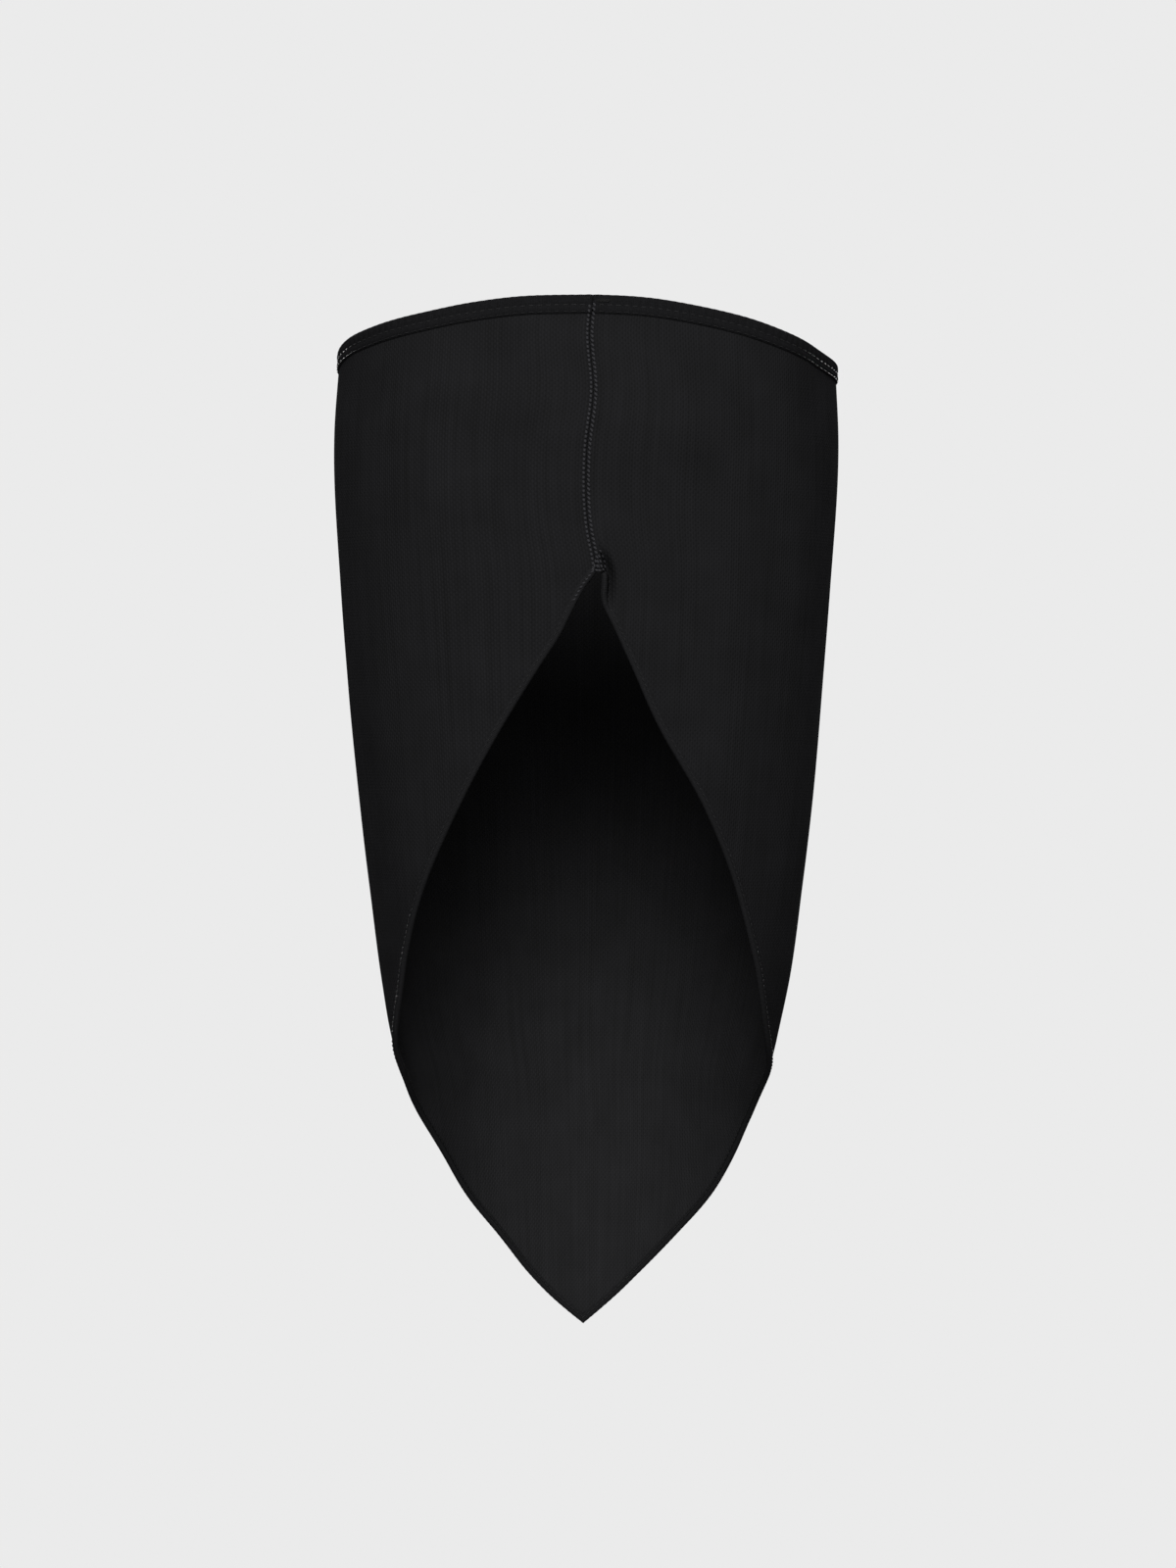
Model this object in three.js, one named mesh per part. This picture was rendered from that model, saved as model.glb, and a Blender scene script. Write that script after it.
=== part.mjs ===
// A bandana-style balaclava: a knit tube for the nose, the cheeks and the nape, closed at the centre back
// by a short flatlock seam. Below the seam the back opens in a slit, and the cloth runs down to a point in
// front, as a bib. Millimetres, +Z up, +Y the way the wearer faces, +X to the wearer's right. The origin is
// on the head's axis, level with the rim over the ears.
//
// The cloth is one sheet, and every piece is laid on it by three numbers: turn, the angle about the head's
// axis (0 at the centre front, PI at the centre back, positive to the wearer's right), height, and out, the
// distance off the cloth's outer face.
import * as THREE from "three";

// The cloth tube
const halfWidth = 105; // head's axis to the widest side
const frontDepth = 82; // head's axis to the front, at the chin
const backDepth = 76; // head's axis to the back, at the nape
const backRise = 20; // rim over the ears up to the rim at the centre back
const frontRise = 18; // and to the rim on the nose
const seamLength = 114; // centre back, from the rim to the top of the slit
const bibDrop = 413; // rim over the ears down to the point
const knitThickness = 0.8;
const seamGap = 0.5; // between the two butted edges of the cloth at the centre back

// The tapes and the elastic
const tapeThickness = 0.6;
const rimTapeWidth = 8.8; // each leg, fold to raw edge
const edgeTapeWidth = 3.4;
const elasticWidth = 3.6;
const pointGap = 0.8; // between the two edge tapes where they meet at the point
const layerGap = 0.35; // clearance from each layer to the next

// The sewing
const threadRadius = 0.22;
const rowSpacing = 4; // between the rim's two rows of stitches
const rimRowMargin = 0.8; // rim tape's raw edge to the lower row
const edgeRowMargin = 1.1; // edge tape's raw edge to its row
const rimStitch = 3.5; // one stitch of the rim's looper thread
const seamStitch = 1.95; // one zigzag of the flatlock
const seamWidth = 3.3; // across the flatlock's threads
const seamMargin = 1; // kept free beside the flatlock by the rows that end there
const tackStitch = 1.4; // one zigzag of a bar tack
const tackHeight = 1.8;
const rimTackLength = 10;
const rimTackShift = 3; // rim tack's middle to the wearer's right of the seam
const slitTackLength = 5;

// How finely the solids are divided
const halfTurnSteps = 36;
const clothRows = 14;

// Outlines, as [height above the point over bibDrop, share of the dimension]
const widthOutline = [
  [0, 0.62], [0.073, 0.648], [0.156, 0.686], [0.219, 0.707], [0.26, 0.728], [0.299, 0.762], [0.36, 0.806],
  [0.46, 0.858], [0.56, 0.903], [0.659, 0.942], [0.759, 0.975], [0.92, 1], [1, 0.994], [1.061, 0.981],
];
const frontOutline = [
  [0, 0.97], [0.2, 0.93], [0.45, 0.95], [0.68, 1], [0.85, 1], [1, 0.9], [1.074, 0.8],
];
const backOutline = [
  [0, 0.78], [0.26, 0.8], [0.354, 0.86], [0.63, 0.97], [0.85, 1], [1, 0.94], [1.074, 0.87],
];
// The slit's and the bib's edge, as [turn from the centre back over PI, share of the way down to the point]
const edgeOutline = [
  [0, 0], [0.06, 0.12], [0.111, 0.207], [0.167, 0.289], [0.233, 0.383], [0.297, 0.484], [0.367, 0.575],
  [0.444, 0.642], [0.528, 0.663], [0.6, 0.704], [0.672, 0.764], [0.744, 0.824], [0.817, 0.879],
  [0.889, 0.934], [0.944, 0.968], [1, 1],
];
const rimArch = 1.5; // how the rim falls away from the centre front and back to the ears: 1 is a cosine

// A smooth curve through points, as a function of their first number.
function smooth(points) {
  const slopes = points.map((_, i) => {
    const [x0, y0] = points[Math.max(i - 1, 0)];
    const [x1, y1] = points[Math.min(i + 1, points.length - 1)];
    return (y1 - y0) / (x1 - x0);
  });
  return (x) => {
    let i = 0;
    while (i < points.length - 2 && x > points[i + 1][0]) i++;
    const [x0, y0] = points[i];
    const [x1, y1] = points[i + 1];
    const span = x1 - x0;
    const t = THREE.MathUtils.clamp((x - x0) / span, 0, 1);
    const rest = 1 - t;
    return (
      y0 * rest * rest * (1 + 2 * t) + y1 * t * t * (3 - 2 * t)
      + slopes[i] * span * t * rest * rest - slopes[i + 1] * span * t * t * rest
    );
  };
}

const widthShare = smooth(widthOutline);
const frontShare = smooth(frontOutline);
const backShare = smooth(backOutline);
const edgeShare = smooth(edgeOutline);
const slitTop = backRise - seamLength;
const lowerRowDrop = rimTapeWidth - rimRowMargin;
const upperRowDrop = lowerRowDrop - rowSpacing;
const edgeRowInset = edgeTapeWidth - edgeRowMargin;

const sideAt = (height) => halfWidth * widthShare(1 + height / bibDrop);

// A point of the cloth's outer face.
function onCloth(turn, height) {
  const share = 1 + height / bibDrop;
  const forward = Math.cos(turn);
  const depth = forward > 0 ? frontDepth * frontShare(share) : backDepth * backShare(share);
  return new THREE.Vector3(sideAt(height) * Math.sin(turn), depth * forward, height);
}

// The way out of the cloth at that point.
function outward(turn, height) {
  const step = 1e-3;
  const around = onCloth(turn + step, height).sub(onCloth(turn - step, height));
  const up = onCloth(turn, height + 1).sub(onCloth(turn, height - 1));
  return up.cross(around).negate().normalize();
}

const place = (turn, height, out) => onCloth(turn, height).addScaledVector(outward(turn, height), out);

// The turn of a point that lies across mm to the viewer's right of the centre back.
const turnFromBack = (across, height) => Math.PI - across / sideAt(height);

function rimAt(turn) {
  const rise = Math.cos(turn) > 0 ? frontRise : backRise;
  return rise * Math.abs(Math.cos(turn)) ** rimArch;
}

function edgeAt(turn) {
  const fromBack = 1 - Math.abs(turn) / Math.PI;
  return slitTop - (bibDrop + slitTop) * edgeShare(fromBack);
}

// How many mm of height one mm across a band takes up, where the band slopes with its edge.
function stretch(edge, turn) {
  const step = 1e-3 * (Math.abs(turn) > 1 ? -Math.sign(turn) : Math.sign(turn) || 1);
  const run = onCloth(turn + step, edge(turn)).distanceTo(onCloth(turn, edge(turn)));
  return Math.hypot(1, (edge(turn + step) - edge(turn)) / run);
}

const belowRim = (turn, drop) => rimAt(turn) - drop * stretch(rimAt, turn);
const aboveEdge = (turn, inset) => edgeAt(turn) + inset * stretch(edgeAt, turn);

// A closed solid through sections. Each is two equal rows of points, left and right, joined like a ladder.
function ladder(sections) {
  const across = sections[0].left.length;
  const ring = 2 * across;
  const points = sections.flatMap(({ left, right }) => [...left, ...right.slice().reverse()]);
  const faces = [];
  const quad = (a, b, c, d) => faces.push(a, b, c, a, c, d);
  for (let s = 0; s < sections.length - 1; s++)
    for (let k = 0; k < ring; k++) {
      const next = (k + 1) % ring;
      quad(s * ring + k, s * ring + next, (s + 1) * ring + next, (s + 1) * ring + k);
    }
  for (const [base, turned] of [[0, true], [(sections.length - 1) * ring, false]])
    for (let k = 0; k < across - 1; k++) {
      const rung = [base + k, base + k + 1, base + ring - 2 - k, base + ring - 1 - k];
      quad(...(turned ? rung.reverse() : rung));
    }
  let volume = 0;
  for (let f = 0; f < faces.length; f += 3)
    volume += points[faces[f]].dot(points[faces[f + 1]].clone().cross(points[faces[f + 2]]));
  if (volume < 0) faces.reverse();
  const geometry = new THREE.BufferGeometry().setFromPoints(points).setIndex(faces);
  geometry.computeVertexNormals();
  return geometry;
}

// A tape folded over an edge: down its outer leg, round the fold and up its inner leg. way is 1 over the
// rim, where the legs hang down, and -1 under the slit's and the bib's edge.
function foldedTape(turns, edge, width, way) {
  const leg = (turn, inset) => edge(turn) - way * inset * stretch(edge, turn);
  const outer = layerGap;
  const inner = -knitThickness - layerGap;
  return ladder(turns.map((turn) => ({
    left: [[outer + tapeThickness, width], [outer + tapeThickness, 0], [inner - tapeThickness, 0],
      [inner - tapeThickness, width]].map(([out, inset]) => place(turn, leg(turn, inset), out)),
    right: [[outer, width], [outer, tapeThickness], [inner, tapeThickness], [inner, width]]
      .map(([out, inset]) => place(turn, leg(turn, inset), out)),
  })));
}

// A thread of square section through stops, each { turn, height, out }, its corners mitred in the cloth's
// face, out to mitreLimit times its radius.
const mitreLimit = 2;
function thread(stops) {
  const points = stops.map(({ turn, height, out }) => place(turn, height, out));
  return ladder(points.map((point, i) => {
    const normal = outward(stops[i].turn, stops[i].height);
    const before = point.clone().sub(points[Math.max(i - 1, 0)]).normalize();
    const after = points[Math.min(i + 1, points.length - 1)].clone().sub(point).normalize();
    if (i === 0) before.copy(after);
    if (i === points.length - 1) after.copy(before);
    const side = before.clone().add(after).cross(normal);
    side.addScaledVector(normal, -side.dot(normal)).normalize();
    const slant = Math.abs(before.cross(normal).normalize().dot(side));
    const reach = threadRadius * Math.min(1 / slant, mitreLimit);
    const corner = (way, far) => point.clone().addScaledVector(way, far);
    return {
      left: [corner(normal, threadRadius), corner(side, reach)],
      right: [corner(side, -reach), corner(normal, -threadRadius)],
    };
  }));
}

// Evenly divided numbers from one end to the other.
function divide(from, to, steps) {
  return Array.from({ length: steps + 1 }, (_, i) => from + ((to - from) * i) / steps);
}

// The turns where the solids have their corners, the same for each layer, so that the layers nest.
const seamTurn = Math.PI - seamGap / 2 / halfWidth;
const pointTurn = pointGap / 2 / sideAt(-bibDrop);
const grid = divide(0, Math.PI, halfTurnSteps).slice(1, -1);
const halfTurns = [...grid, seamTurn];
const wholeTurns = [...halfTurns.map((turn) => -turn).reverse(), 0, ...halfTurns];
const endOfRows = (height) => turnFromBack(seamWidth / 2 + seamMargin, height);

const overTape = layerGap + tapeThickness + layerGap + threadRadius;
const overCloth = layerGap + threadRadius;
const insideTape = -knitThickness - overTape;
const insideCloth = -knitThickness - overCloth;

// How far out the flatlock lies: on the cloth, and lifted over the tapes at the rim and at the slit.
function seamOut(height, onTape, onKnit) {
  const ramp = 2 * rimStitch;
  const rimTapeEnd = backRise - rimTapeWidth;
  const slitTapeEnd = aboveEdge(seamTurn, edgeTapeWidth);
  const lift = Math.max(
    THREE.MathUtils.smoothstep(height, rimTapeEnd - ramp, rimTapeEnd - 1),
    1 - THREE.MathUtils.smoothstep(height, slitTapeEnd + 1, slitTapeEnd + ramp),
  );
  return THREE.MathUtils.lerp(onKnit, onTape, lift);
}

// A layer as thick as the cloth, with its rows at the heights that heightsAt gives for each turn.
function layer(heightsAt) {
  return ladder(wholeTurns.map((turn) => {
    const heights = heightsAt(turn);
    return {
      left: heights.map((height) => place(turn, height, 0)),
      right: heights.map((height) => place(turn, height, -knitThickness)),
    };
  }));
}

const elasticTop = tapeThickness + layerGap;
const elasticBottom = elasticTop + elasticWidth;
const clothTop = elasticBottom + layerGap;
const clothBottom = tapeThickness + layerGap;

// The cloth has a row of corners under each tape's raw edge, so that it bends where the tape ends.
const cloth = () => layer((turn) => [
  belowRim(turn, clothTop),
  ...divide(belowRim(turn, rimTapeWidth), aboveEdge(turn, edgeTapeWidth), clothRows - 2),
  aboveEdge(turn, clothBottom),
]);

const elastic = () => layer((turn) => [belowRim(turn, elasticTop), belowRim(turn, elasticBottom)]);

function edgeTape(side) {
  const turns = [pointTurn, ...halfTurns].map((turn) => side * turn);
  return foldedTape(turns, edgeAt, edgeTapeWidth, -1);
}

function rimRow(drop) {
  const end = endOfRows(0);
  const turns = [-end, ...grid.slice().reverse().map((turn) => -turn), 0, ...grid, end];
  return thread(turns.map((turn) => ({ turn, height: belowRim(turn, drop), out: overTape })));
}

// The looper thread crosses from row to row inside the rim, one crossing each half stitch.
function rimLooper() {
  const end = endOfRows(0);
  const around = Math.PI * (halfWidth + (frontDepth + backDepth) / 2);
  const crossings = 2 * Math.round(around / rimStitch);
  return thread(divide(-end, end, crossings).map((turn, i) => (
    { turn, height: belowRim(turn, i % 2 ? upperRowDrop : lowerRowDrop), out: insideTape }
  )));
}

function edgeRow(side, out) {
  const end = endOfRows(slitTop) - edgeRowInset / halfWidth;
  const turns = [pointTurn + edgeRowInset / halfWidth, ...grid.slice(0, -1), end];
  return thread(turns.map((turn) => ({ turn: side * turn, height: aboveEdge(turn, edgeRowInset), out })));
}

// The tacks' middles: half way from the rim's fold to its upper row, and clear above the slit.
const rimTackHeight = backRise - upperRowDrop / 2;
const slitTackHeight = slitTop + tackHeight;

// A zigzag down the centre back, from the rim's tack to the slit's.
function flatlock(onTape, onKnit) {
  const fromTack = tackHeight / 2 + layerGap + threadRadius;
  const top = rimTackHeight - fromTack;
  const bottom = slitTackHeight + fromTack;
  const strokes = 2 * Math.round((top - bottom) / seamStitch);
  const swing = seamWidth / 2 - mitreLimit * threadRadius;
  return thread(divide(top, bottom, strokes).map((height, i) => ({
    turn: turnFromBack(i % 2 ? swing : -swing, height),
    height,
    out: seamOut(height, onTape, onKnit),
  })));
}

// A dense zigzag across the centre back, from one side to the other.
function barTack(middle, height, length) {
  const strokes = 2 * Math.round(length / tackStitch);
  const swing = tackHeight / 2 - mitreLimit * threadRadius;
  return thread(divide(middle - length / 2, middle + length / 2, strokes).map((across, i) => ({
    turn: turnFromBack(across, height),
    height: height + (i % 2 ? swing : -swing),
    out: overTape,
  })));
}

// A textile or rubber finish: matt, and never metal.
function finish(name, color, roughness) {
  return new THREE.MeshStandardMaterial({ name, color, roughness, metalness: 0 });
}

const knit = finish("knit", 0x1e1e1e, 0.85);
const tape = finish("tape", 0x1a1a1a, 0.8);
const rubber = finish("elastic", 0x242424, 0.9);
const sewingThread = finish("thread", 0x2a2a2a, 0.6);

const balaclava = new THREE.Group();

function add(name, geometry, material) {
  const mesh = new THREE.Mesh(geometry, material);
  mesh.name = name;
  balaclava.add(mesh);
}

add("cloth_panel", cloth(), knit);
add("rim_tape", foldedTape(wholeTurns, rimAt, rimTapeWidth, 1), tape);
add("rim_elastic", elastic(), rubber);
add("left_edge_tape", edgeTape(-1), tape);
add("right_edge_tape", edgeTape(1), tape);
add("rim_upper_stitch_row", rimRow(upperRowDrop), sewingThread);
add("rim_lower_stitch_row", rimRow(lowerRowDrop), sewingThread);
add("rim_looper_thread", rimLooper(), sewingThread);
add("back_seam_flatlock_thread", flatlock(overTape, overCloth), sewingThread);
add("back_seam_inner_thread", flatlock(insideTape, insideCloth), sewingThread);
add("left_edge_stitch_row", edgeRow(-1, overTape), sewingThread);
add("right_edge_stitch_row", edgeRow(1, overTape), sewingThread);
add("left_edge_inner_thread", edgeRow(-1, insideTape), sewingThread);
add("right_edge_inner_thread", edgeRow(1, insideTape), sewingThread);
add("rim_bar_tack", barTack(rimTackShift, rimTackHeight, rimTackLength), sewingThread);
add("slit_bar_tack", barTack(0, slitTackHeight, slitTackLength), sewingThread);

export default balaclava;
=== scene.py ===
"""A bandana-style balaclava in black knit, standing open as it does on a head and seen from behind: the
tube with its bound rim, the centre back seam, the slit with its narrow bindings, and the bib that runs down
to a point in front.

The whole cloth is one surface. A place on it is a turn about the head's axis (0 at the centre front, pi at
the centre back, positive to the wearer's right), a height in millimetres and a distance out from the
cloth's outer face. Every piece is laid on the cloth by these three."""

import bpy
import numpy as np
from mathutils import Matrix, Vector


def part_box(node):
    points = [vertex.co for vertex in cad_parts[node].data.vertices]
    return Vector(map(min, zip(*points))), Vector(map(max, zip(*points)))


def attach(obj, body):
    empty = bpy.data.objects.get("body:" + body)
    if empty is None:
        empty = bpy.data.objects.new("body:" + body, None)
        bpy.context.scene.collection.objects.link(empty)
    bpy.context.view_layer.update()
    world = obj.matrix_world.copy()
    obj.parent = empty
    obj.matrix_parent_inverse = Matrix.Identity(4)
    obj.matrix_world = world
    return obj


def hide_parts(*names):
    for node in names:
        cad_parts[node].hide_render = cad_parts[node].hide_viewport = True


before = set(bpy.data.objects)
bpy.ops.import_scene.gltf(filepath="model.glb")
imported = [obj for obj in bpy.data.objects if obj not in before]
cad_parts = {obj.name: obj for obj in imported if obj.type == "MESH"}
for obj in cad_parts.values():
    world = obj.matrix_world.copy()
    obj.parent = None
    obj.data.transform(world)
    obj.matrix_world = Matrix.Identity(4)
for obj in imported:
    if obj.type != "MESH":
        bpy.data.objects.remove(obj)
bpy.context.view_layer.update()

MM = 0.001
BACK = np.pi
TURN_STEP = 2e-3  # radians, for slopes
HEIGHT_STEP = 0.2  # millimetres, for slopes


def box_mm(node):
    """A CAD node's lowest and highest corner, in millimetres."""
    low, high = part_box(node)
    return np.array(low) / MM, np.array(high) / MM


def outline(*points):
    """A smooth curve through points, as a function of their first number."""
    x, y = np.array(points, float).T
    slope = np.gradient(y, x)

    def at(where):
        where = np.clip(where, x[0], x[-1])
        i = np.clip(np.searchsorted(x, where, side="right") - 1, 0, len(x) - 2)
        span = x[i + 1] - x[i]
        t = (where - x[i]) / span
        rest = 1 - t
        return (
            y[i] * rest**2 * (1 + 2 * t)
            + slope[i] * span * t * rest**2
            + y[i + 1] * t**2 * (3 - 2 * t)
            - slope[i + 1] * span * t**2 * rest
        )

    return at


# ---------------------------------------------------------------- sizes, in millimetres

cloth_low, cloth_high = box_mm("cloth_panel")
rim_low, rim_high = box_mm("rim_tape")
edge_low, edge_high = box_mm("left_edge_tape")

half_width = (cloth_high[0] - cloth_low[0]) / 2
front_depth = cloth_high[1]
back_depth = -cloth_low[1]
rim_top = rim_high[2]
point = edge_low[2]

knit_thickness = 0.8
tape_thickness = 0.6
layer_gap = 0.12  # air between two layers that are sewn on each other
rim_width = 8.2  # rim binding, fold to raw edge
upper_row = 4.6  # rim's fold to the upper row of stitches
lower_row = rim_width - 0.7  # and to the lower row, near the raw edge
edge_width = 3.1  # slit and bib binding, fold to raw edge
edge_row = 2.1
elastic_width = 3.4

rim_stitch = 3.5
edge_stitch = 2.6
seam_stitch = 1.85
tape_rise = 0.62  # how far the seam's threads climb to cross the rim binding

# ---------------------------------------------------------------- the cloth's form

# Outlines by how far down from the rim over the ears (0) to the point (1), as a share of the full size.
width_share = outline(
    (-0.06, 0.965), (0, 0.978), (0.03, 0.986), (0.08, 0.998), (0.24, 0.975), (0.34, 0.942), (0.44, 0.903),
    (0.54, 0.858), (0.64, 0.806), (0.70, 0.758), (0.74, 0.717), (0.78, 0.703), (0.845, 0.686),
    (0.93, 0.648), (1, 0.62),
)
front_share = outline((-0.06, 0.82), (0, 0.9), (0.15, 1), (0.32, 1), (0.55, 0.95), (0.8, 0.935), (1, 0.91))
back_share = outline((-0.06, 0.87), (0, 0.94), (0.15, 1), (0.37, 0.97), (0.65, 0.86), (0.74, 0.8), (1, 0.78))
lean = outline(
    (-0.06, 0.3), (0, 0.3), (0.06, -0.2), (0.24, -0.6), (0.34, -0.4), (0.44, 0), (0.54, -0.2),
    (0.64, -0.5), (0.69, -1), (0.72, -0.9), (0.77, -0.3), (1, 0),
)

# The slit's and the bib's edge on each side: degrees from the centre back, and the depth below the origin of
# a mask whose point is drawn_drop down.
drawn_drop = 413
left_edge = [
    (-2.5, 94.5), (-1.4, 97.2), (-0.1, 100.3), (1.4, 105), (3.3, 111.5), (5.6, 119.5), (10.4, 132),
    (20.3, 157), (33, 189), (46.2, 221), (59.3, 254), (67, 271.5), (75, 285), (83, 294.8), (91, 303),
    (99, 311), (106.5, 318.5), (114, 327.5), (123, 339.5), (134.2, 356.5), (146.8, 374), (158.3, 391),
    (166, 400.5), (173.8, 408.5), (178.7, 413),
]
right_edge = [
    (4.3, 94), (4.35, 99), (4.4, 103), (4.6, 107), (5.3, 111), (7.5, 120.5), (10.6, 132), (17.5, 157),
    (30, 189), (42, 221), (53.5, 254), (60, 269.5), (67.5, 282.5), (76, 292.5), (86, 300.5), (95, 307),
    (103, 314), (111, 323.5), (121, 338.8), (132.5, 356.5), (146.5, 374), (161, 391.5), (168.8, 400.5),
    (176.6, 408.5), (181.3, 413),
]
# The rim's height by degrees from the centre back: it dips over the ears and rises over the nose.
rim_line = outline(
    (-180, 18), (-165, 17), (-150, 14.2), (-135, 9.8), (-120, 4.8), (-108, 1.2), (-98, -0.8), (-90, -0.8),
    (-80, 2.4), (-72, 5.4), (-59, 9.2), (-42, 13.7), (-28, 17.4), (-17, 19.2), (-6, 19.9), (2, 20),
    (13, 19), (24, 16.5), (37, 12.5), (52, 6.4), (62, 2.7), (70, -0.4), (79, -3), (88, -4.7), (98, -4.8),
    (108, -2.6), (120, 2), (135, 8.4), (150, 13.8), (165, 17), (180, 18),
)

# How far the seam wanders to the wearer's right, by height.
seam_wander = outline(
    (-230, 0), (-180, 2), (-125, 4.6), (-92, 4.5), (-75, 1.4), (-45, 0.6), (-20, 3), (5, 1), (18, 2.2),
    (25, 2.4),
)


def form(turn, height):
    """The cloth's outer face before it sags and swells."""
    down = height / point
    forward = np.cos(turn)
    depth = np.where(forward > 0, front_depth * front_share(down), back_depth * back_share(down))
    across = half_width * width_share(down) * np.sin(turn) + lean(down)
    return np.stack(np.broadcast_arrays(across, depth * forward, height), axis=-1)


def unit(vectors):
    return vectors / np.linalg.norm(vectors, axis=-1, keepdims=True)


def outward(surface, turn, height):
    """The way out of a surface, from its slopes."""
    around = surface(turn + TURN_STEP, height) - surface(turn - TURN_STEP, height)
    up = surface(turn, height + HEIGHT_STEP) - surface(turn, height - HEIGHT_STEP)
    return unit(np.cross(up, around))


full_turn = np.linspace(-BACK, BACK, 2001)
mid_tube = form(full_turn, np.full_like(full_turn, point * 0.3))
steps_round = np.linalg.norm(np.diff(mid_tube, axis=0), axis=-1)
girth_at = np.concatenate([[0], np.cumsum(steps_round)])
girth_at -= girth_at[1000]


def girth(turn):
    """Distance round the cloth from the centre front, along its middle."""
    return np.interp(turn, full_turn, girth_at)


def from_back(turn):
    """Distance round the cloth from the centre back, positive to the wearer's right."""
    turn = (turn + BACK) % (2 * BACK) - BACK
    return np.where(turn > 0, girth_at[-1], girth_at[0]) - girth(turn)


def mound(x, y, at, spread, lift):
    return lift * np.exp(-(((x - at[0]) / spread[0]) ** 2) - ((y - at[1]) / spread[1]) ** 2)


# The crease beside the slit's top: across from the centre back and depth, by height.
crease_line = outline(
    (-124, 16), (-114, 11.4), (-108, 9.6), (-104, 9.3), (-100, 9.6), (-95, 9.5), (-91, 8.5), (-85, 6.6)
)
crease_depth = outline(
    (-122, 0), (-114, 0.4), (-109, 1.4), (-105, 3.6), (-101, 5.4), (-95, 5.6), (-90, 4), (-87, 2), (-84, 0.4),
    (-81, 0),
)

# Soft swells and hollows of the hanging cloth: across from the centre back and height, spread, lift.
swells = [
    ((28, -34), (30, 17), 1.8),
    ((-24, -28), (22, 16), 0.9),
    ((-14, -38), (13, 24), 0.9),
    ((-40, -12), (12, 26), -0.9),
    ((34, -64), (34, 12), -0.8),
    ((-62, -60), (18, 46), 0.8),
    ((66, -120), (16, 60), 0.7),
    ((-46, -128), (14, 40), -0.6),
]


def hang(turn, height):
    """How far the cloth swells out of its form: broad folds, soft swells, the ridge along the seam and the
    crease beside the slit's top."""
    across = from_back(turn)
    out = 0.5 * np.sin(6 * turn + height / 70) * np.sin(height / 38 + 1)
    out += 0.3 * np.sin(11 * turn - height / 45 + 2)
    for at, spread, lift in swells:
        out += mound(across, height, at, spread, lift)
    beside_crease = across - crease_line(height)
    flank = np.where(beside_crease < 0, 1.2, 2.3)
    out -= crease_depth(height) * np.exp(-((beside_crease / flank) ** 2))
    out += 0.16 * crease_depth(height) * np.exp(-(((beside_crease + 2.2) / 1.2) ** 2))
    beside_seam = across - seam_wander(height)
    on_seam = 1 / (1 + np.exp(-(height + 92) / 1.2))
    out += on_seam * (0.3 * np.exp(-((beside_seam / 3.2) ** 2)) - 0.55 * np.exp(-((beside_seam / 0.55) ** 2)))
    return out


def draped(turn, height):
    """The cloth's outer face as it hangs, with the slit's right edge pulled in beside the crease."""
    across = from_back(turn)
    pull = mound(across, height, (8, -104), (4, 7), 0.9) / half_width
    turn = turn + pull
    return form(turn, height) + outward(form, turn, height) * hang(turn, height)[..., None]


def skin(turn, height, out):
    """A point off the cloth's outer face."""
    turn, height, out = np.broadcast_arrays(*(np.asarray(a, float) for a in (turn, height, out)))
    return draped(turn, height) + outward(draped, turn, height) * out[..., None]


# ---------------------------------------------------------------- lines on the cloth


class Line:
    """A line on the cloth, stepped evenly, that knows the way in from it across the cloth. inside is 1 where
    the cloth lies to the right of a walk along the line on its outer face, and -1 where it lies to the left."""

    def __init__(self, turn, height, step, inside):
        along = self.lengths(turn, height)
        count = max(int(round(along[-1] / step)), 2)
        even = np.linspace(0, along[-1], count + 1)
        self.turn = np.interp(even, along, turn)
        self.height = np.interp(even, along, height)
        self.along = even
        here = draped(self.turn, self.height)
        self.way = unit(np.gradient(here, axis=0))
        per_turn = draped(self.turn + TURN_STEP, self.height) - draped(self.turn - TURN_STEP, self.height)
        per_turn /= 2 * TURN_STEP
        per_height = draped(self.turn, self.height + HEIGHT_STEP) - draped(self.turn, self.height - HEIGHT_STEP)
        per_height /= 2 * HEIGHT_STEP
        inward = inside * np.cross(self.way, outward(draped, self.turn, self.height))
        a, b = (per_turn**2).sum(-1), (per_turn * per_height).sum(-1)
        d = (per_height**2).sum(-1)
        p, q = (inward * per_turn).sum(-1), (inward * per_height).sum(-1)
        self.per_mm = np.stack([p * d - q * b, q * a - p * b], axis=-1) / (a * d - b * b)[:, None]

    @staticmethod
    def lengths(turn, height):
        run = np.linalg.norm(np.diff(draped(turn, height), axis=0), axis=-1)
        return np.concatenate([[0], np.cumsum(run)])

    def inset(self, distance):
        """Turn and height of the line moved in across the cloth."""
        return self.turn + self.per_mm[:, 0] * distance, self.height + self.per_mm[:, 1] * distance

    def at(self, along, distance, out):
        """A point at a distance along the line, in across the cloth and out of it."""
        turn = np.interp(along, self.along, self.turn)
        turn = turn + distance * np.interp(along, self.along, self.per_mm[:, 0])
        height = np.interp(along, self.along, self.height)
        height = height + distance * np.interp(along, self.along, self.per_mm[:, 1])
        return skin(turn, height, out)


def rim_height(turn):
    return rim_line(np.degrees(np.sign(turn) * BACK - turn))


def edge_curve(points, side):
    """A side's edge as many turns and heights, smooth through its points."""
    turn, depth = np.array(points, float).T
    run = np.concatenate([[0], np.cumsum(np.hypot(np.diff(turn) * 1.4, np.diff(depth)))])
    dense = np.linspace(0, run[-1], 6000)
    degrees = outline(*zip(run, turn))(dense)
    height = outline(*zip(run, depth))(dense) * (point / drawn_drop)
    return side * (BACK - np.radians(degrees)), height


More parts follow.
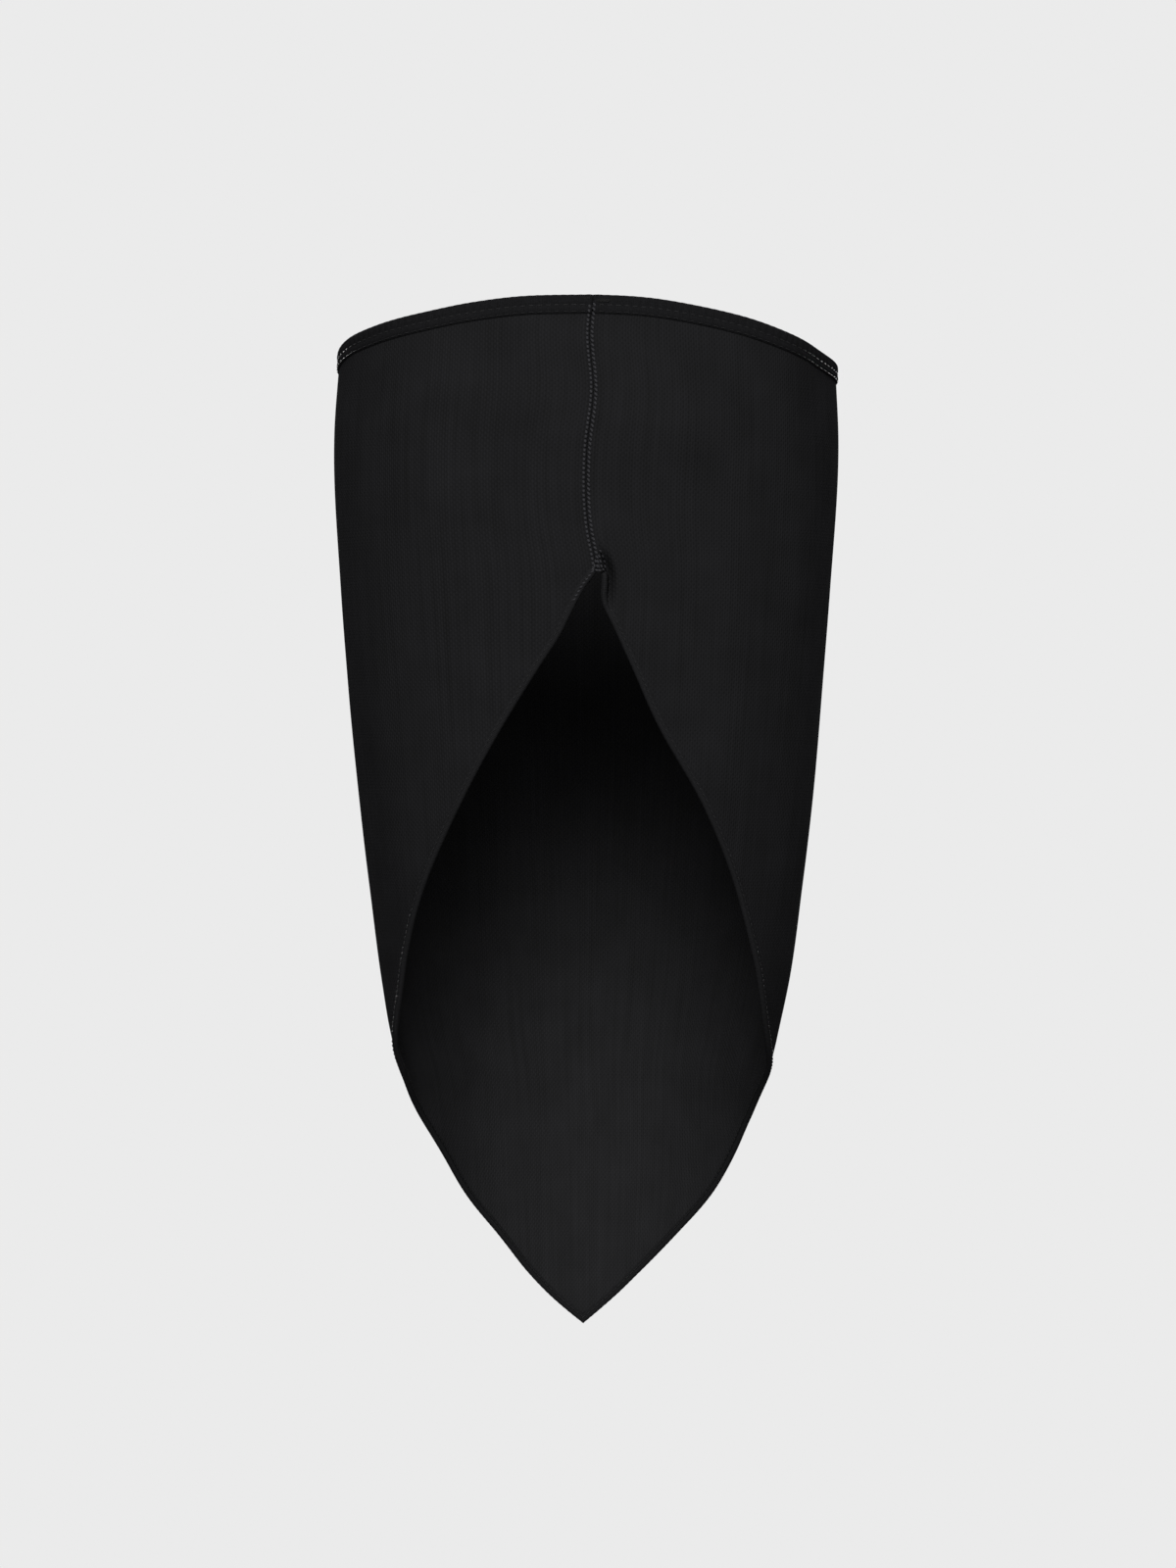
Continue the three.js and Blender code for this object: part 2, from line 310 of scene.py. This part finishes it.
slit_top = 94 * point / drawn_drop
seam_gap = 0.012  # half the gap between the cloth's two edges at the seam
seam_turn = BACK - seam_gap / half_width
rim_turn = np.linspace(-seam_turn, seam_turn, 4000)


def seam_shift(turn, height):
    """How far a column of the knit near the centre back follows the seam's wander, as a turn."""
    near = np.exp(-((from_back(turn) / 40) ** 2))
    return -seam_wander(height) * near / half_width


rim = Line(rim_turn + seam_shift(rim_turn, rim_height(rim_turn)), rim_height(rim_turn), 0.5, -1)
left = Line(*edge_curve(left_edge, -1), 0.7, 1)
right = Line(*edge_curve(right_edge, 1), 0.7, -1)

# ---------------------------------------------------------------- meshes


def make_piece(name, points, faces, lay, node, finish):
    """A mesh piece from points in millimetres. lay is each point's place in the pattern, in millimetres."""
    mesh = bpy.data.meshes.new(name)
    mesh.from_pydata((points * MM).tolist(), [], faces)
    pattern = mesh.attributes.new("lay", "FLOAT_VECTOR", "POINT")
    pattern.data.foreach_set("vector", lay.astype(np.float32).ravel())
    mesh.shade_smooth()
    mesh.materials.append(finish)
    piece = bpy.data.objects.new(name, mesh)
    bpy.context.scene.collection.objects.link(piece)
    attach(piece, "root")
    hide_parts(node)
    return piece


def tube_faces(stations, ring):
    """Quads of a closed tube of rings, with both ends closed like a ladder."""
    faces = []
    for s in range(stations - 1):
        a, b = s * ring, (s + 1) * ring
        faces += [(a + k, a + (k + 1) % ring, b + (k + 1) % ring, b + k) for k in range(ring)]
    for base, turned in ((0, True), ((stations - 1) * ring, False)):
        for k in range(ring // 2 - 1):
            rung = (base + k, base + k + 1, base + ring - 2 - k, base + ring - 1 - k)
            faces.append(rung[::-1] if turned else rung)
    return faces


def swept(name, rings, lay, node, finish):
    """A solid through rings of points, ring after ring."""
    stations, ring, _ = rings.shape
    points = rings.reshape(-1, 3)
    faces = tube_faces(stations, ring)
    a, b, c = points[0], points[1], points[ring]
    middle = rings[0].mean(axis=0)
    if np.dot(np.cross(b - a, c - a), a - middle) < 0:
        faces = [face[::-1] for face in faces]
    return make_piece(name, points, faces, lay.reshape(-1, 3), node, finish)


def tube_round(path, normals, radius, flat=1.0, sides=8):
    """Rings round a path. flat is the tube's height out of the cloth over its width."""
    way = unit(np.gradient(path, axis=0))
    side = unit(np.cross(way, normals))
    up = np.cross(side, way)
    angle = np.linspace(0, 2 * np.pi, sides, endpoint=False)
    radius = np.broadcast_to(radius, len(path))[:, None, None]
    return path[:, None] + radius * (
        np.cos(angle)[None, :, None] * side[:, None] + flat * np.sin(angle)[None, :, None] * up[:, None]
    )


# ---------------------------------------------------------------- stitches


def bead_stitches(name, middle, way, normal, length, width, height, dive, node, finish):
    """Short stitches that rise out of the cloth and dive into it at both ends, all in one piece."""
    stations, sides = 9, 8
    t = np.linspace(-1, 1, stations)
    angle = np.linspace(0, 2 * np.pi, sides, endpoint=False)
    swell = np.sqrt(np.clip(1 - np.abs(t) ** 3.2, 0.02, 1))
    side = np.cross(way, normal)
    count = len(middle)
    length, width, height = (np.broadcast_to(a, count)[:, None, None, None] for a in (length, width, height))
    axis = middle[:, None, None] + way[:, None, None] * (t[None, :, None, None] * length / 2)
    axis = axis - normal[:, None, None] * (dive * t[None, :, None, None] ** 2)
    across = side[:, None, None] * np.cos(angle)[None, None, :, None] * width / 2
    up = normal[:, None, None] * np.sin(angle)[None, None, :, None] * height / 2
    rings = axis + (across + up) * swell[None, :, None, None]
    points = rings.reshape(-1, 3)
    along = np.broadcast_to(t[None, :, None] * length[..., 0] / 2, rings.shape[:3])
    turned = np.broadcast_to(angle[None, None, :] * 0.3, rings.shape[:3])
    serial = np.broadcast_to((np.arange(count) * 7.3)[:, None, None], rings.shape[:3])
    lay = np.stack([along, turned, serial], axis=-1)
    one = np.array(tube_faces(stations, sides))
    a, b, c = points[0], points[1], points[sides]
    if np.dot(np.cross(b - a, c - a), a - points[:sides].mean(axis=0)) < 0:
        one = one[:, ::-1]
    faces = (one[None] + (np.arange(count) * stations * sides)[:, None, None]).reshape(-1, 4)
    return make_piece(name, points, faces.tolist(), lay, node, finish)


def stitch_row(name, line, start, end, pitch, distance, out, length, width, node, finish):
    """A row of running stitches along a line."""
    along = np.arange(start + pitch / 2, end, pitch)
    middle = line.at(along, distance, out)
    way = unit(line.at(along + 0.3, distance, out) - line.at(along - 0.3, distance, out))
    normal = unit(line.at(along, distance, out + 0.5) - middle)
    return bead_stitches(name, middle, way, normal, length, width, width * 0.85, 0.16, node, finish)


def zigzag_thread(name, line, start, end, pitch, near, far, out, radius, node, finish):
    """A looper's thread that crosses from one row to the other and back, with rounded turns."""
    count = int((end - start) / pitch)
    t = np.linspace(0, count, count * 10 + 1)
    swing = np.clip(np.sin(2 * np.pi * t) * 1.25, -1, 1)
    along = start + t * (end - start) / count
    distance = (near + far) / 2 + swing * (far - near) / 2
    path = line.at(along, distance, out)
    normal = unit(line.at(along, distance, out - 0.5) - path)
    rings = tube_round(path, normal, radius, sides=6)
    lay = np.zeros(rings.shape)
    lay[..., 0] = np.linspace(0, 1, len(path))[:, None] * count * pitch * 3
    return swept(name, rings, lay, node, finish)


# ---------------------------------------------------------------- bindings


def binding(name, line, width, rows, pitch, puff, node, finish, pocket=0.0):
    """A tape folded over an edge and stitched down. rows are the stitch rows' distances from the fold, puff
    is how much it swells between them, and pocket is what it wraps besides the knit."""
    half = (knit_thickness + pocket) / 2 + layer_gap + tape_thickness / 2
    middle = -knit_thickness / 2
    bend = half + tape_thickness / 2
    steps = 12
    legs = np.linspace(0, 1, steps)
    outer_in = width + (bend - width) * legs
    fold = np.radians(np.linspace(90, 270, 7))[1:-1]
    core_in = np.concatenate([outer_in, bend + half * np.cos(fold), outer_in[::-1]])
    core_out = np.concatenate([np.full(steps, half), half * np.sin(fold), np.full(steps, -half)])
    side = np.concatenate([np.ones(steps), np.sin(fold), -np.ones(steps)])
    across = np.concatenate([np.zeros(steps), np.cos(fold), np.zeros(steps)])
    along = line.along[:, None]
    cos_stitch = np.cos(2 * np.pi * along / pitch)
    lobes = np.abs(np.cos(np.pi * along / pitch)) ** 0.7
    shape = np.zeros((len(line.along), len(core_in)))
    last = 0.0
    for row in rows:
        span = np.clip((core_in - last) / (row - last), 0, 1)
        pinch = 0.75 if last == 0 else 0.2
        shape += puff * np.sin(np.pi * span) ** 0.8 * (1 - pinch + pinch * lobes)
        shape -= 0.16 * np.exp(-(((core_in - row) / 0.42) ** 2)) * (1 - 0.5 * cos_stitch)
        puff = puff * 0.5
        last = row
    thin = 0.6 * np.exp(-(((core_in - width) / 0.6) ** 2))
    shape = shape - tape_thickness / 2 * thin
    rim_wave = 0.05 * cos_stitch
    rings = []
    for offset in (tape_thickness / 2 * (1 - thin), -tape_thickness / 2 * (1 - thin)):
        out = middle + core_out + side * (offset + shape)
        inward = core_in + across * offset + rim_wave * np.abs(across)
        rings.append((np.broadcast_to(inward, shape.shape), out))
    inward = np.concatenate([rings[0][0], rings[1][0][:, ::-1]], axis=1)
    out = np.concatenate([rings[0][1], rings[1][1][:, ::-1]], axis=1)
    points = line.at(np.broadcast_to(along, inward.shape), inward, out)
    lay = np.stack([np.broadcast_to(along, inward.shape), inward * np.sign(out - middle), out], axis=-1)
    return swept(name, points, lay, node, finish)


# ---------------------------------------------------------------- the knit panel


def panel_columns(per_side=150, ease=0.84):
    """Turns of the panel's columns, closer together near the seam."""
    u = np.linspace(0, 1, per_side + 1)
    eased = u + ease * (u * u - u)
    half = seam_turn * (1 - eased)
    return np.concatenate([-half, half[::-1][1:]])


def knit_panel(finish):
    """The cloth itself: one sheet from seam edge to seam edge, its top under the rim binding and its bottom
    under the edge bindings."""
    base = panel_columns()
    rim_in = rim.inset(elastic_width + 1.3)
    top = np.interp(base, rim_in[0], rim_in[1])
    left_in, right_in = left.inset(1.0), right.inset(1.0)
    ends = [left_in[0].min() - 1e-4], [right_in[0].max() + 1e-4]
    edge_turn = np.concatenate([ends[0], left_in[0], right_in[0], ends[1]])
    edge_height = np.concatenate([[slit_top], left_in[1], right_in[1], [slit_top]])
    order = np.argsort(edge_turn)
    edge_turn, edge_height = edge_turn[order], edge_height[order]
    bottom = np.interp(base, edge_turn, edge_height)
    for _ in range(60):
        bottom = 0.5 * bottom + 0.5 * np.interp(base + seam_shift(base, bottom), edge_turn, edge_height)
    even = np.convolve(np.pad(bottom, 24, mode="reflect", reflect_type="odd"), np.hanning(49) / 24, "valid")
    rows = np.linspace(0, 1, 161)
    height = top[:, None] + (even - top)[:, None] * rows + (bottom - even)[:, None] * rows**8
    turn = base[:, None] + seam_shift(base[:, None], height)
    outer = skin(turn, height, 0.0)
    inner = skin(turn, height, -knit_thickness)
    lay = np.stack(np.broadcast_arrays(girth(base)[:, None], height, np.zeros_like(height)), axis=-1)
    back_lay = lay + np.array([0, 0, 1.0])
    rings = np.concatenate([outer, inner[:, ::-1]], axis=1)
    lay = np.concatenate([lay, back_lay[:, ::-1]], axis=1)
    return swept("knit_panel", rings, lay, "cloth_panel", finish)


def elastic_band(finish):
    """The elastic in the rim's fold."""
    inward = np.array([1.0, 1.0 + elastic_width])
    along = np.broadcast_to(rim.along[:, None], (len(rim.along), 2))
    outer = rim.at(along, np.broadcast_to(inward, along.shape), 0.0)
    inner = rim.at(along, np.broadcast_to(inward, along.shape), -knit_thickness)
    rings = np.concatenate([outer, inner[:, ::-1]], axis=1)
    lay = np.zeros(rings.shape)
    lay[..., 0] = rim.along[:, None]
    return swept("rim_elastic_band", rings, lay, "rim_elastic", finish)


# ---------------------------------------------------------------- materials


def linear(code):
    """An sRGB hex colour as linear red, green, blue and alpha."""
    parts = [int(code[i : i + 2], 16) / 255 for i in (1, 3, 5)]
    return [c / 12.92 if c <= 0.04045 else ((c + 0.055) / 1.055) ** 2.4 for c in parts] + [1.0]


def node(tree, kind, inputs=None, **settings):
    """Adds a shader node, with its settings, and its inputs from values or from other nodes' sockets."""
    made = tree.nodes.new("ShaderNode" + kind)
    for name, value in settings.items():
        setattr(made, name, value)
    for key, value in (inputs or {}).items():
        if isinstance(value, bpy.types.NodeSocket):
            tree.links.new(value, made.inputs[key])
        else:
            made.inputs[key].default_value = value
    return made


def shader(name, **values):
    """A new material with its Principled shader and the values set on it."""
    material = bpy.data.materials.new(name)
    material.use_nodes = True
    tree = material.node_tree
    principled = tree.nodes["Principled BSDF"]
    for key, value in values.items():
        principled.inputs[key.replace("_", " ")].default_value = value
    return material, tree, principled


def lay_of(tree):
    """The place in the cloth's own pattern, in millimetres, apart as round, down and layer."""
    place = node(tree, "Attribute", attribute_name="lay", attribute_type="GEOMETRY").outputs["Vector"]
    return place, node(tree, "SeparateXYZ", {0: place}).outputs


def wave(tree, value, pitch, phase=0.0):
    """A cosine of one period per pitch, in millimetres."""
    turned = node(
        tree, "Math", {0: value, 1: 2 * np.pi / pitch, 2: phase}, operation="MULTIPLY_ADD"
    ).outputs[0]
    return node(tree, "Math", {0: turned}, operation="COSINE").outputs[0]


def polyester_jersey():
    """Brushed black polyester-elastane jersey: soft and matt, with upright wales and a staggered pin mesh,
    both drawn a little coarser than a fine jersey's so that they show close by, and faint upright streaks from
    the knitting machine. Its inner face is a shade greyer than its outer face."""
    material, tree, principled = shader("polyester jersey", Roughness=0.8, IOR=1.5, Specular_IOR_Level=0.0)
    place, (around, down, inside) = lay_of(tree)
    wales = wave(tree, around, 1.15)
    courses = wave(tree, down, 1.3)
    pin_columns = wave(tree, around, 2.3, 0.8)
    pin_rows = wave(tree, down, 2.1)
    pins = node(tree, "Math", {0: pin_columns, 1: pin_rows}, operation="MULTIPLY").outputs[0]
    stretched = node(tree, "VectorMath", {0: place, 1: (0.55, 0.012, 1)}, operation="MULTIPLY").outputs[0]
    streaks = node(tree, "TexNoise", {"Vector": stretched, "Scale": 1.0, "Detail": 3.0}).outputs["Fac"]
    mottle = node(tree, "TexNoise", {"Vector": place, "Scale": 0.05, "Detail": 4.0}).outputs["Fac"]
    fuzz = node(tree, "TexNoise", {"Vector": place, "Scale": 1.7, "Detail": 2.0}).outputs["Fac"]
    tone = node(tree, "Math", {0: streaks, 1: 0.5}, operation="MULTIPLY").outputs[0]
    tone = node(tree, "Math", {0: mottle, 1: 0.5, 2: tone}, operation="MULTIPLY_ADD").outputs[0]
    tone = node(tree, "Math", {0: pins, 1: 0.13, 2: tone}, operation="MULTIPLY_ADD").outputs[0]
    tone = node(
        tree, "Math", {0: wales, 1: 0.10, 2: tone}, operation="MULTIPLY_ADD", use_clamp=True
    ).outputs[0]
    face = node(
        tree, "Mix", {0: tone, 6: linear("#070707"), 7: linear("#101011")}, data_type="RGBA"
    ).outputs[2]
    # The inner face's colour, a shade greyer than the outer face's.
    inner_tone = node(
        tree, "Mix", {0: tone, 6: linear("#0a0a0a"), 7: linear("#151516")}, data_type="RGBA"
    ).outputs[2]
    colour = node(tree, "Mix", {0: inside, 6: face, 7: inner_tone}, data_type="RGBA").outputs[2]
    tree.links.new(colour, principled.inputs["Base Color"])
    relief = node(tree, "Math", {0: wales, 1: 0.5, 2: fuzz}, operation="MULTIPLY_ADD").outputs[0]
    relief = node(tree, "Math", {0: pins, 1: -0.5, 2: relief}, operation="MULTIPLY_ADD").outputs[0]
    relief = node(tree, "Math", {0: courses, 1: 0.15, 2: relief}, operation="MULTIPLY_ADD").outputs[0]
    bump = node(tree, "Bump", {"Height": relief, "Distance": 0.12 * MM, "Strength": 0.8})
    tree.links.new(bump.outputs[0], principled.inputs["Normal"])
    return material


def stretch_binding(name="stretch binding", dark="#050505", light="#0d0d0e"):
    """Black stretch binding: a closer, smoother knit than the jersey, a shade darker, with fine ribs across."""
    material, tree, principled = shader(name, Roughness=0.7, IOR=1.5, Specular_IOR_Level=0.0)
    place, (along, _, _) = lay_of(tree)
    ribs = wave(tree, along, 0.7)
    fuzz = node(tree, "TexNoise", {"Vector": place, "Scale": 1.4, "Detail": 3.0}).outputs["Fac"]
    tone = node(
        tree, "Math", {0: ribs, 1: 0.12, 2: fuzz}, operation="MULTIPLY_ADD", use_clamp=True
    ).outputs[0]
    colour = node(tree, "Mix", {0: tone, 6: linear(dark), 7: linear(light)}, data_type="RGBA").outputs[2]
    tree.links.new(colour, principled.inputs["Base Color"])
    relief = node(tree, "Math", {0: ribs, 1: 0.35, 2: fuzz}, operation="MULTIPLY_ADD").outputs[0]
    bump = node(tree, "Bump", {"Height": relief, "Distance": 0.08 * MM, "Strength": 0.8})
    tree.links.new(bump.outputs[0], principled.inputs["Normal"])
    return material


def textured_thread(name="textured polyester thread", dark="#0a0a0b", light="#1b1b1d"):
    """Textured polyester thread: two plies that twist, with more gloss than the cloth, so that it catches
    the light."""
    material, tree, principled = shader(name, Roughness=0.5, IOR=1.55, Specular_IOR_Level=0.05)
    place, (along, turned, _) = lay_of(tree)
    slant = node(tree, "Math", {0: turned, 1: 1.6, 2: along}, operation="MULTIPLY_ADD").outputs[0]
    plies = wave(tree, slant, 0.55)
    fuzz = node(tree, "TexNoise", {"Vector": place, "Scale": 2.5, "Detail": 2.0}).outputs["Fac"]
    tone = node(
        tree, "Math", {0: plies, 1: 0.3, 2: fuzz}, operation="MULTIPLY_ADD", use_clamp=True
    ).outputs[0]
    colour = node(tree, "Mix", {0: tone, 6: linear(dark), 7: linear(light)}, data_type="RGBA").outputs[2]
    tree.links.new(colour, principled.inputs["Base Color"])
    bump = node(tree, "Bump", {"Height": plies, "Distance": 0.06 * MM, "Strength": 0.7})
    tree.links.new(bump.outputs[0], principled.inputs["Normal"])
    return material


def rubber_elastic():
    """Matt black rubber elastic with long fine ribs."""
    material, tree, principled = shader("rubber elastic", Roughness=0.85, IOR=1.52)
    _, (along, _, _) = lay_of(tree)
    ribs = wave(tree, along, 1.0)
    colour = node(
        tree, "Mix", {0: ribs, 6: linear("#141414"), 7: linear("#1c1c1c")}, data_type="RGBA"
    ).outputs[2]
    tree.links.new(colour, principled.inputs["Base Color"])
    return material


# ---------------------------------------------------------------- the object

jersey = polyester_jersey()
tape = stretch_binding()
edge_tape = stretch_binding("edge binding", "#070707", "#111112")
thread = textured_thread()
hem_thread = textured_thread("hem thread", "#070707", "#111112")
# The rim tack's thread is drawn darker than the other threads. That extra darkness is painted shade, the shadow
# where the tack sits.
tack_thread_painted_shade = textured_thread("tack thread, painted shade", "#030303", "#070707")
rubber = rubber_elastic()

panel = knit_panel(jersey)
rim_rows = (upper_row, lower_row)
rim_binding = binding("rim_binding", rim, rim_width, rim_rows, rim_stitch, 0.45, "rim_tape", tape)
elastic = elastic_band(rubber)
left_binding, right_binding = (
    binding(f"{side}_binding", line, edge_width, (edge_row,), edge_stitch, 0.12, f"{side}_edge_tape",
            edge_tape)
    for side, line in (("left", left), ("right", right))
)

on_tape = layer_gap + tape_thickness + 0.06
in_tape = -knit_thickness - on_tape
seam_clear = 2.6
rim_end = rim.along[-1] - seam_clear
sewing = [
    stitch_row("rim_upper_stitches", rim, seam_clear, rim_end, rim_stitch, upper_row, on_tape, 2.5, 0.5,
               "rim_upper_stitch_row", hem_thread),
    stitch_row("rim_lower_stitches", rim, seam_clear, rim_end, rim_stitch, lower_row, on_tape, 2.7, 0.36,
               "rim_lower_stitch_row", hem_thread),
    zigzag_thread("rim_looper", rim, seam_clear, rim_end, rim_stitch, upper_row, lower_row,
                  in_tape - 0.25, 0.2, "rim_looper_thread", hem_thread),
]
edge_sewing = (("stitches", "stitch_row", on_tape, 1.8, 0.45), ("loops", "inner_thread", in_tape, 2.2, 0.55))
for kind, cad_kind, out, length, width in edge_sewing:
    for side, line in (("left", left), ("right", right)):
        sewing.append(
            stitch_row(f"{side}_edge_{kind}", line, 3, line.along[-1] - 2, edge_stitch, edge_row, out, length,
                       width, f"{side}_edge_{cad_kind}", hem_thread)
        )


def seam_place(height, across, out):
    """A point beside the centre back seam, across from its line to the wearer's right."""
    turn = BACK - (seam_wander(height) + across) / half_width
    return skin(turn, height, out)


def seam_beads(name, heights, across, slants, out, length, width, node_name, finish):
    """Stitches beside the seam. A slant leans a stitch's top to the wearer's left."""
    middle = seam_place(heights, across, out)
    up = unit(seam_place(heights + 0.3, across, out) - middle)
    sideways = unit(seam_place(heights, across + 0.3, out) - middle)
    normal = unit(seam_place(heights, across, out + 0.5) - middle)
    lean_over = np.radians(slants)[:, None]
    way = unit(np.cos(lean_over) * up - np.sin(lean_over) * sideways)
    return bead_stitches(name, middle, way, normal, length, width, width * 0.75, 0.12, node_name, finish)


rim_back = float(rim_height(np.array([BACK]))[0])
seam_heights = np.arange(slit_top + 1.4, rim_back - 3.6, seam_stitch)
seam_count = len(seam_heights)
over_tape = 1 / (1 + np.exp(-(seam_heights - (rim_back - rim_width)) / 0.6))
seam_out = 0.15 + tape_rise * over_tape
sewing += [
    seam_beads("flatlock_stitches",
               np.concatenate([seam_heights, seam_heights + seam_stitch * 0.4]),
               np.concatenate([np.full(seam_count, -1.05), np.full(seam_count, 1.05)]),
               np.concatenate([np.full(seam_count, 6.0), np.full(seam_count, 32.0)]),
               np.concatenate([seam_out, seam_out]),
               np.concatenate([np.full(seam_count, 1.55), np.full(seam_count, 1.9)]),
               np.concatenate([np.full(seam_count, 1.2), np.full(seam_count, 1.05)]),
               "back_seam_flatlock_thread", thread),
    seam_beads("flatlock_loops", seam_heights, np.zeros(seam_count), np.full(seam_count, 80.0),
               -knit_thickness - 0.1 - tape_rise * over_tape, 3.2, 0.6, "back_seam_inner_thread", thread),
]
# The slit's tack: across from the seam, height over the slit's top, slant, as the last stitches fan out.
fan = np.array([
    (2.6, 8.2, 30), (1.8, 6.1, 20), (3.1, 6.0, 38), (0.5, 4.2, 5), (2.0, 4.0, 25), (3.5, 3.9, 40),
    (-0.6, 2.3, -10),
    (0.8, 2.2, 12), (2.2, 2.1, 20), (3.4, 1.9, 30), (-1.4, 0.7, 60), (0.2, 0.5, 80), (1.6, 0.5, 85),
    (2.8, 0.6, 70),
])
# The tack's thread runs on a little way down the slit's left edge.
hem_along = np.arange(0.6, 15, 1.9)
hem_middle = left.at(hem_along, 1.5, 0.85)
hem_way = unit(left.at(hem_along + 0.3, 1.7, 0.85) - left.at(hem_along - 0.3, 1.3, 0.85))
hem_normal = unit(left.at(hem_along, 1.5, 1.35) - hem_middle)
sewing += [
    seam_beads("slit_tack", slit_top + fan[:, 1], fan[:, 0], fan[:, 2], np.full(len(fan), 0.55), 1.6, 0.95,
               "slit_bar_tack", thread),
    bead_stitches("hem_tack", hem_middle, hem_way, hem_normal, 1.5, 0.8, 0.6, 0.12, "slit_bar_tack", thread),
    # The rim's tack: real stitches in the darker thread, whose extra darkness is painted shade.
    seam_beads("rim_tack", rim_back - np.array([2.4, 2.8, 3.2, 2.0]), np.array([4.6, 4.9, 4.5, -2.4]),
               np.full(4, 88.0), np.full(4, 1.2), np.array([6.5, 7.0, 6.0, 3.4]), 0.5, "rim_bar_tack",
               tack_thread_painted_shade),
]

# ---------------------------------------------------------------- floor, light and camera


def pale_floor(height, size=30.0):
    """A plain pale floor, well below the hanging point."""
    bpy.ops.mesh.primitive_plane_add(size=size, location=(0, 0, height))
    floor = bpy.context.object
    floor.name = "floor"
    material, _, principled = shader("pale floor", Roughness=0.9, Specular_IOR_Level=0.1)
    principled.inputs["Base Color"].default_value = linear("#f8f8f8")
    floor.data.materials.append(material)


def soft_light(name, place, aim, size, power):
    """A square soft box."""
    data = bpy.data.lights.new(name, "AREA")
    data.shape = "SQUARE"
    data.size = size
    data.energy = power
    data.spread = np.radians(50)
    light = bpy.data.objects.new(name, data)
    light.location = place
    light.rotation_euler = (Vector(aim) - Vector(place)).to_track_quat("-Z", "Y").to_euler()
    bpy.context.scene.collection.objects.link(light)


def studio(middle):
    world = bpy.data.worlds.new("studio")
    world.use_nodes = True
    background = world.node_tree.nodes["Background"]
    background.inputs["Color"].default_value = linear("#ebebeb")
    bpy.context.scene.world = world
    soft_light("key", (-0.12, -2.0, 1.15), middle, 1.4, 25.5)
    for side in (-1, 1):
        soft_light("front", (side * 1.15, 2.0, 0.9), middle, 0.9, 22)


def back_camera(middle, height):
    """A long lens straight behind the wearer, level with the middle of the object."""
    data = bpy.data.cameras.new("camera")
    distance = 3.0
    view_height = height * 1.519
    data.sensor_width = 36.0
    data.lens = data.sensor_width * distance / view_height
    camera = bpy.data.objects.new("camera", data)
    camera.location = middle - Vector((0, distance, 0))
    camera.rotation_euler = (np.pi / 2, 0, 0)
    bpy.context.scene.collection.objects.link(camera)
    bpy.context.scene.camera = camera


object_height = (rim_top - point) * MM
aim = Vector((0.0006, 0, (rim_top + point) / 2 * MM + 0.0154))
back_camera(aim, object_height)
studio(aim)
pale_floor((point - 1790) * MM)
bpy.context.scene.view_settings.view_transform = "Standard"
